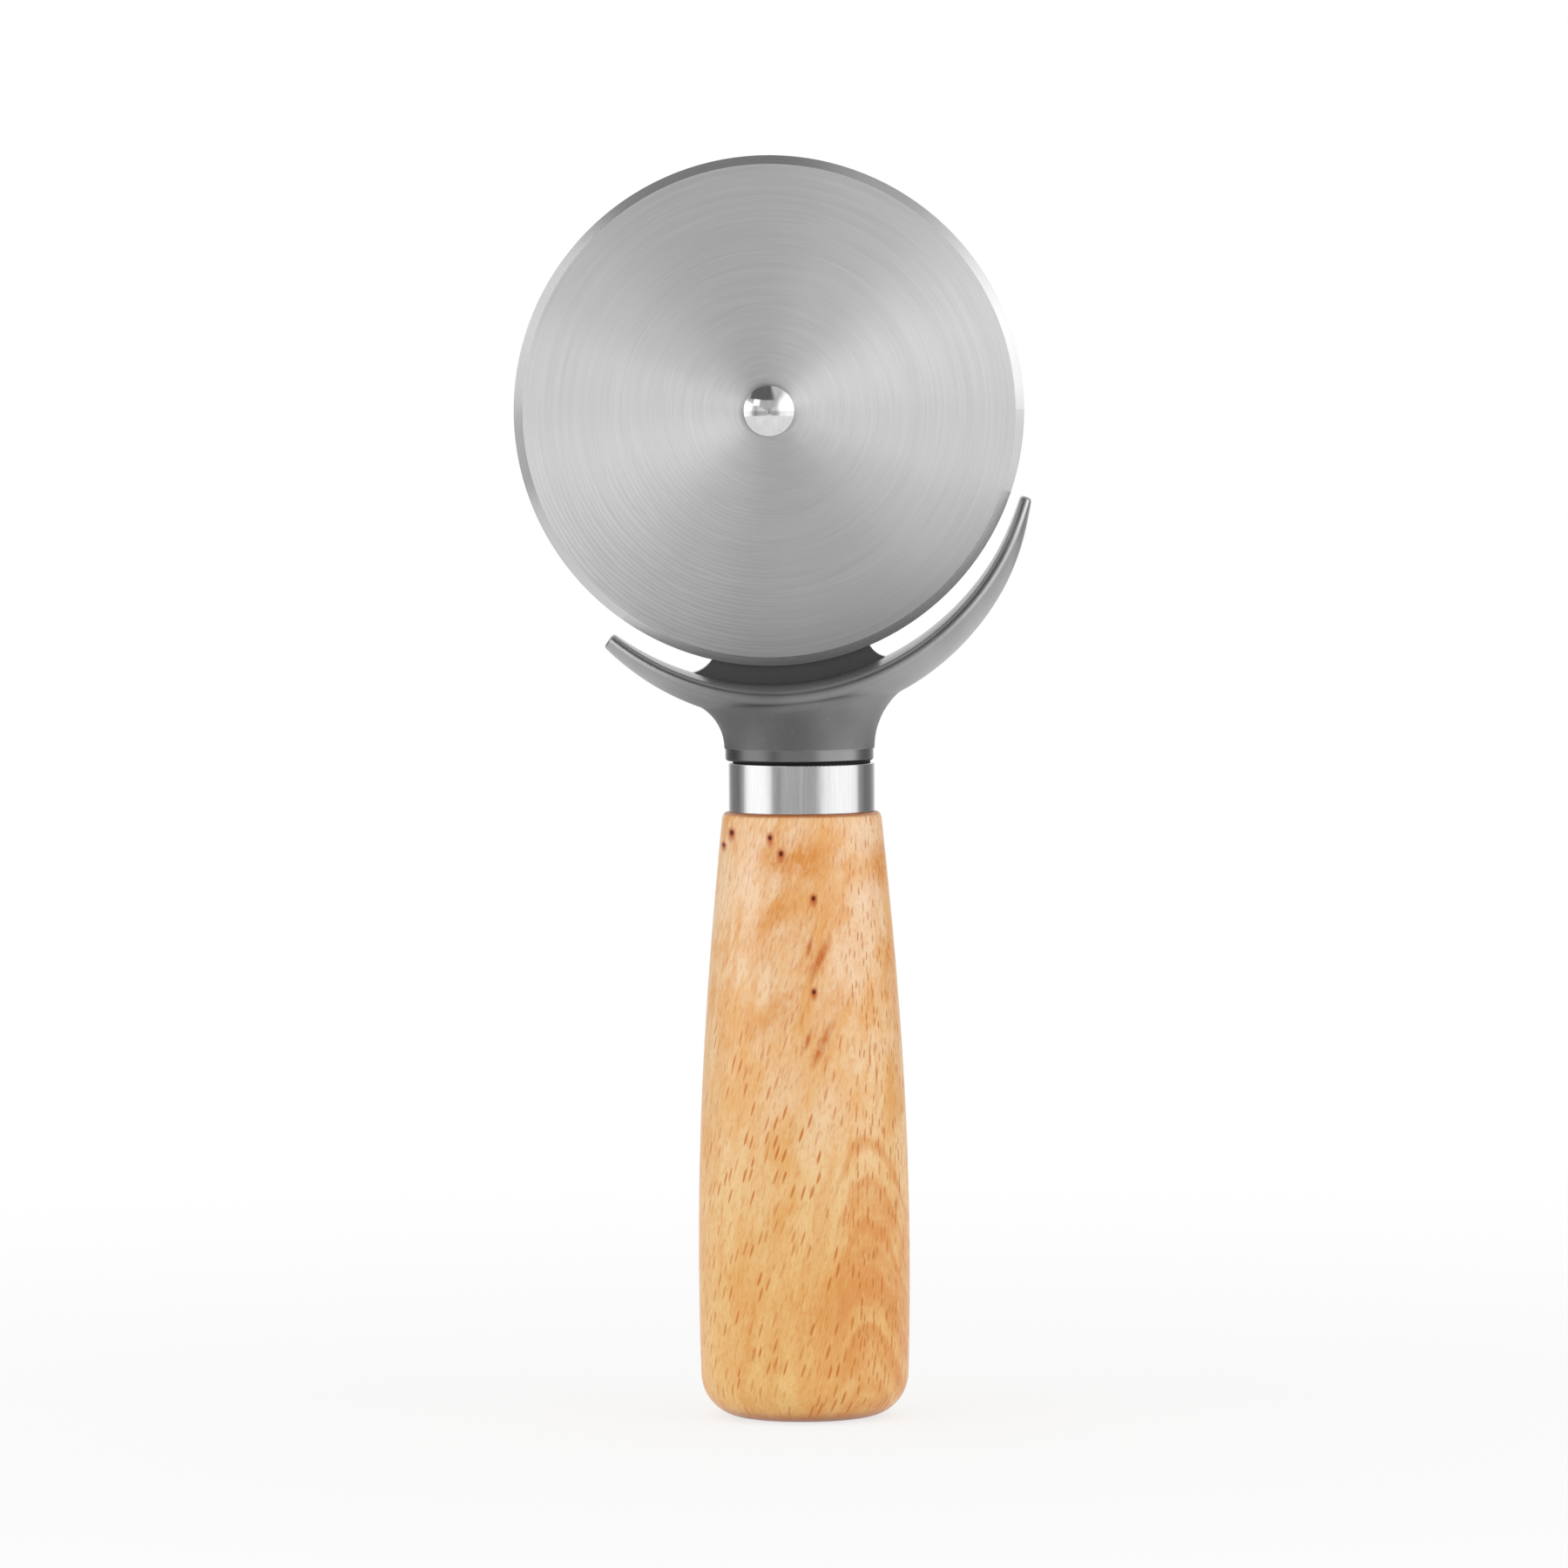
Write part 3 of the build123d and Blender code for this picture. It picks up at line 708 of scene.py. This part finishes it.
# Dark dot in the middle of the rivet's head: radii in mm of its soft edge, grey, and more roughness
DIMPLE_EDGE = (0.25, 0.55)
DIMPLE_GREY = 0.40
DIMPLE_ROUGHNESS = 0.35


def chrome():
    """Polished rivet with faint wipe marks."""
    made, g = new_material("rivet_polished_chrome")
    place = g.place()
    marks = g.noise(g.scaled(place, WIPE_GRAIN), detail=3.0)
    offset = g.scaled(g.vector("SUBTRACT", place, axle), (1.0, 0.0, 1.0))
    dimple = g.fall(g.length(offset), *DIMPLE_EDGE)
    g.finish(
        Base_Color=g.mix(dimple, g.ramp(marks, *CHROME_GREYS), grey(DIMPLE_GREY)),
        Metallic=1.0,
        Roughness=g.line(dimple, DIMPLE_ROUGHNESS, g.step(marks, *CHROME_ROUGHNESS)),
    )
    return made


ACETAL_SHADE = (0.78, 0.78, 0.75)
ACETAL_WHITE = (0.86, 0.86, 0.84)


def acetal():
    """White plastic of the bush, with a fine grain."""
    made, g = new_material("bush_acetal")
    grain = g.noise(g.place(), scale=6.0, detail=3.0)
    g.finish(
        Base_Color=g.ramp(grain, (0.3, ACETAL_SHADE), (0.7, ACETAL_WHITE)),
        Roughness=g.step(grain, 0.3, 0.7, 0.45, 0.6),
        Normal=g.bump(grain, distance=0.008 * MM, strength=0.2),
    )
    return made


finishes = {
    "wood": beech(),
    "ferrule_steel": drawn_steel("ferrule_satin_steel", level=0.69, rough=0.10),
    "rod_steel": drawn_steel("tang_drawn_steel", level=0.45, rough=0.35),
    "plated_casting": plated_casting(),
    "blade_steel": turned_steel(),
    "bush_plastic": acetal(),
    "washer_steel": drawn_steel("washer_steel", level=0.58, rough=0.28, streak_grain=STREAKS_EVEN),
    "rivet_chrome": chrome(),
}
for subpart in frame["record"]["subparts"]:
    node = frame["nodes"][subpart["node"]]
    node.data.materials.clear()
    node.data.materials.append(finishes[subpart["material_slot"]])


def link(obj):
    bpy.context.scene.collection.objects.link(obj)
    return obj


# Camera: the photo is 1800 px wide at 7.8 px per mm, and looks down a little, with a small roll
IMAGE_WIDTH = 1800 / 7.8 * MM
CAMERA_DISTANCE = 1.5
CAMERA_HEIGHT_ANGLE = math.radians(3.0)
CAMERA_ROLL = math.radians(-0.33)
CAMERA_AIM = Vector((-2.6 * MM, 0.0, 93.3 * MM))
SENSOR_WIDTH = 36.0
NEAREST = 0.05
FARTHEST = 60.0

camera_data = bpy.data.cameras.new("camera")
camera_data.sensor_width = SENSOR_WIDTH
camera_data.lens = SENSOR_WIDTH * CAMERA_DISTANCE / IMAGE_WIDTH
camera_data.clip_start = NEAREST
camera_data.clip_end = FARTHEST
camera = link(bpy.data.objects.new("camera", camera_data))
bpy.context.scene.camera = camera
camera_back = Vector((0.0, -math.cos(CAMERA_HEIGHT_ANGLE), math.sin(CAMERA_HEIGHT_ANGLE)))
camera.location = CAMERA_AIM + camera_back * CAMERA_DISTANCE
camera.rotation_mode = "QUATERNION"
level_view = (-camera_back).to_track_quat("-Z", "Y")
camera.rotation_quaternion = level_view @ Matrix.Rotation(CAMERA_ROLL, 3, "Z").to_quaternion()


def background_share(g):
    """1 for a ray that shows the background: from the camera, by reflection or through glass."""
    path = g.node("ShaderNodeLightPath").outputs
    share = g.math("MAXIMUM", path["Is Camera Ray"], path["Is Glossy Ray"])
    return g.math("MAXIMUM", share, path["Is Transmission Ray"])


# World: white behind the object, and a plain level of light
WORLD_LEVEL = 0.80
world = bpy.data.worlds.new("studio")
world.use_nodes = True
bpy.context.scene.world = world
g = Graph(world.node_tree)
level = g.line(background_share(g), 1.0 - WORLD_LEVEL, WORLD_LEVEL)
light = g.node("ShaderNodeBackground", {"Color": grey(1.0), "Strength": level})
g.node("ShaderNodeOutputWorld", {"Surface": light.outputs[0]})

# Floor: a pale matt disc that turns into the white background outwards and keeps the shadow
FLOOR_RADIUS = 0.62
FLOOR_SIDES = 96
FLOOR_HEIGHT = -0.05 * MM
FLOOR_GREY = 0.93
# Distances from the middle between which the background's share grows, and the share at each
WHITE_REACH = (0.06, 0.42)
WHITE_SHARE = (0.75, 1.0)


def floor_disc():
    corners = []
    for side in range(FLOOR_SIDES):
        turn = math.tau * side / FLOOR_SIDES
        corners.append((FLOOR_RADIUS * math.cos(turn), FLOOR_RADIUS * math.sin(turn), FLOOR_HEIGHT))
    mesh = bpy.data.meshes.new("floor")
    mesh.from_pydata(corners, [], [tuple(range(FLOOR_SIDES))])
    return mesh


def floor_finish():
    made, g = new_material("floor_pale")
    reach = g.length(g.coordinates("Object"))
    white_share = g.times(background_share(g), g.step(reach, *WHITE_REACH, *WHITE_SHARE))
    matt = g.node("ShaderNodeBsdfDiffuse", {"Color": grey(FLOOR_GREY)})
    blend = g.node("ShaderNodeMixShader", {"Fac": white_share})
    g.feed(blend.inputs[1], matt.outputs[0])
    g.feed(blend.inputs[2], g.emission(grey(1.0), 1.0))
    g.output(blend.outputs[0])
    return made


floor = link(bpy.data.objects.new("floor", floor_disc()))
floor.data.materials.append(floor_finish())

# Soft boxes to the left and right light the object, and the tent below shows them in metal
BOX_DISTANCE = 2.0
BOX_RISE = 0.55
BOX_WIDTH = 1.6
BOX_HEIGHT = 1.1
BOX_RADIANCE = 1.6


def soft_box(name, degrees):
    azimuth = math.radians(degrees)
    data = bpy.data.lights.new(name, "AREA")
    data.shape = "RECTANGLE"
    data.size = BOX_WIDTH
    data.size_y = BOX_HEIGHT
    data.energy = BOX_RADIANCE * math.pi * BOX_WIDTH * BOX_HEIGHT
    lamp = link(bpy.data.objects.new(name, data))
    direction = Vector((math.sin(azimuth), -math.cos(azimuth), 0.0))
    lamp.location = direction * BOX_DISTANCE + Vector((0.0, 0.0, BOX_RISE))
    lamp.rotation_mode = "QUATERNION"
    lamp.rotation_quaternion = direction.to_track_quat("Z", "Y")
    lamp.visible_camera = False
    lamp.visible_glossy = False


soft_box("box_left", degrees=-62.0)
soft_box("box_right", degrees=58.0)

# Tent: a sphere that only reflections see, with a bright flank on each side and a grey front,
# dark behind the flanks and open to the white background at the back
TENT_RADIUS = 4.0
TENT_ROWS = 24
TENT_COLUMNS = 48
# Level of light at the horizon by azimuth in degrees, with 0 in front and + to the right
HORIZON_LEVELS = (
    (-180, 1.0),
    (-166, 0.80),
    (-150, 0.38),
    (-136, 0.26),
    (-118, 0.24),
    (-106, 0.50),
    (-97, 1.25),
    (-86, 1.42),
    (-62, 1.38),
    (-52, 1.10),
    (-46, 0.55),
    (-38, 0.38),
    (-28, 0.55),
    (0, 0.50),
    (20, 0.50),
    (27, 0.70),
    (34, 1.12),
    (58, 1.34),
    (86, 1.32),
    (96, 1.12),
    (103, 0.42),
    (118, 0.22),
    (134, 0.24),
    (150, 0.42),
    (168, 0.85),
    (180, 1.0),
)
# Share of the flank's light by steepness, which is 0 for a level direction and 1 for an upright one
LEFT_SHARES = ((0.0, 1.02), (0.14, 1.05), (0.20, 1.42), (0.25, 1.15), (0.30, 0.25), (0.36, 0.0))
RIGHT_SHARES = (
    (0.0, 1.0),
    (0.14, 1.04),
    (0.24, 1.25),
    (0.32, 1.12),
    (0.40, 0.95),
    (0.53, 0.42),
    (0.64, 0.02),
    (0.70, 0.0),
)
# The flanks are brighter over the horizon: two slopes, and the factor at each
FLANK_BOOST = (-0.02, 0.12, 1.0, 1.52)
# The front's grey: two heights, as shares of the radius, and the level at each
FRONT_LEVELS = (0.50, 0.88, 0.57, 0.70)
# Depths between which the front ends and the white back begins, as shares of the radius
BACK_START = (0.15, 0.55)
# Half width of the change from the left flank to the right one, as a share of the radius
MIDDLE = 0.05
# Soft edges of the two patches, as heights in shares of the radius and azimuths in radians
DARK_PATCH = {
    "bottom": (0.48, 0.56),
    "top": (0.94, 0.98),
    "left": (-1.12, -1.05),
    "right": (0.12, 0.44),
}
DARK_PATCH_LEVEL = 0.15
BRIGHT_PANEL = {
    "bottom": (0.22, 0.30),
    "top": (0.51, 0.55),
    "left": (-0.86, -0.78),
    "right": (-0.50, -0.43),
}
BRIGHT_PANEL_LEVEL = 1.45


def tent_sphere():
    points = []
    faces = []
    for row in range(TENT_ROWS + 1):
        polar = math.pi * row / TENT_ROWS
        for column in range(TENT_COLUMNS):
            turn = math.tau * column / TENT_COLUMNS
            points.append((
                TENT_RADIUS * math.sin(polar) * math.cos(turn),
                TENT_RADIUS * math.sin(polar) * math.sin(turn),
                TENT_RADIUS * math.cos(polar),
            ))
    for row in range(TENT_ROWS):
        for column in range(TENT_COLUMNS):
            corner = row * TENT_COLUMNS + column
            beside = row * TENT_COLUMNS + (column + 1) % TENT_COLUMNS
            faces.append((corner, beside, beside + TENT_COLUMNS, corner + TENT_COLUMNS))
    mesh = bpy.data.meshes.new("tent")
    mesh.from_pydata(points, [], faces)
    return mesh


def patch_share(g, height, azimuth, edges):
    """1 inside a patch of the tent, with soft edges."""
    return g.times(
        g.step(height, *edges["bottom"]),
        g.fall(height, *edges["top"]),
        g.step(azimuth, *edges["left"]),
        g.fall(azimuth, *edges["right"]),
    )


def tent_finish():
    made, g = new_material("tent_panels")
    x, y, z = g.split(g.vector("NORMALIZE", g.coordinates("Object")))
    azimuth = g.math("ARCTAN2", x, g.times(y, -1.0))
    turn_share = g.line(azimuth, 1 / math.tau, 0.5)
    horizon = g.ramp(turn_share, *((degrees / 360.0 + 0.5, level) for degrees, level in HORIZON_LEVELS))

    # Each flank reaches up and down from the horizon, and the rest is grey in front and white behind
    sideways = g.math("ABSOLUTE", x)
    slope = g.math("DIVIDE", z, g.math("MAXIMUM", sideways, 0.001))
    flank = g.times(horizon, g.step(slope, *FLANK_BOOST))
    rest = g.mix(g.step(y, *BACK_START), g.step(z, *FRONT_LEVELS), grey(1.0))
    steepness = g.times(g.math("ARCTAN2", g.math("ABSOLUTE", z), sideways), 2 / math.pi)
    left_share = g.ramp(steepness, *LEFT_SHARES)
    right_share = g.ramp(steepness, *RIGHT_SHARES)
    share = g.mix(g.step(x, -MIDDLE, MIDDLE), left_share, right_share)
    level = g.line(g.math("SUBTRACT", flank, rest), share, rest)

    # Dark patch high in front, to a little past the middle, and a small bright panel low on its left
    level = g.mix(patch_share(g, z, azimuth, DARK_PATCH), level, grey(DARK_PATCH_LEVEL))
    level = g.mix(patch_share(g, z, azimuth, BRIGHT_PANEL), level, grey(BRIGHT_PANEL_LEVEL))
    g.output(g.emission(grey(1.0), level))
    return made


tent = link(bpy.data.objects.new("tent", tent_sphere()))
tent.data.materials.append(tent_finish())
for ray in ("camera", "diffuse", "transmission", "volume_scatter", "shadow"):
    setattr(tent, f"visible_{ray}", False)

bpy.context.scene.view_settings.view_transform = "Standard"
